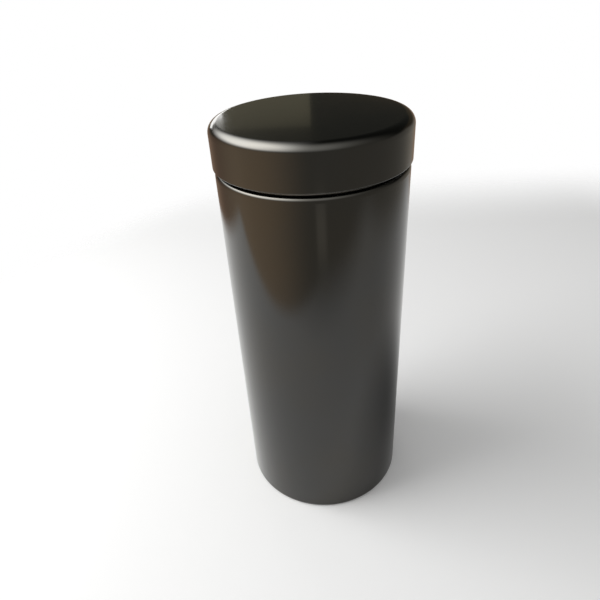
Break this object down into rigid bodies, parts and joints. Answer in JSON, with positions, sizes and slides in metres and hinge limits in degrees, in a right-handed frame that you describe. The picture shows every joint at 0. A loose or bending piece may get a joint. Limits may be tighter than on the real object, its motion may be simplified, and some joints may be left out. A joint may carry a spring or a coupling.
{
  "type": "tall round slip-lid tin",
  "caption": "Tall round metal tin with a flush slip-on lid over an inset neck, a rolled shoulder and a recessed base.",
  "frame": {"origin": "centre of the standing rim, on the surface that the tin stands on", "axes": "+Z along the tin's axis, up through the lid; the tin is round, so X and Y are free"},
  "size_m": [0.0742, 0.0742, 0.174],
  "materials": {
    "dark_coat": "dark gunmetal-brown satin-gloss lacquer on tinplate",
    "bare_tinplate": "clear-lacquered tinplate with a fine rolled grain",
    "compound": "dried sealing compound"
  },
  "bodies": {
    "tin": {"body_wall": "dark_coat", "neck_collar": "bare_tinplate", "base_plate": "bare_tinplate", "seam_compound": "compound"},
    "lid": {"lid_shell": "dark_coat"}
  },
  "joints": [
    {"name": "lid_lift", "type": "slide", "parent": "tin", "child": "lid", "axis": [0, 0, 1], "range_m": [0, 0.06]}
  ]
}
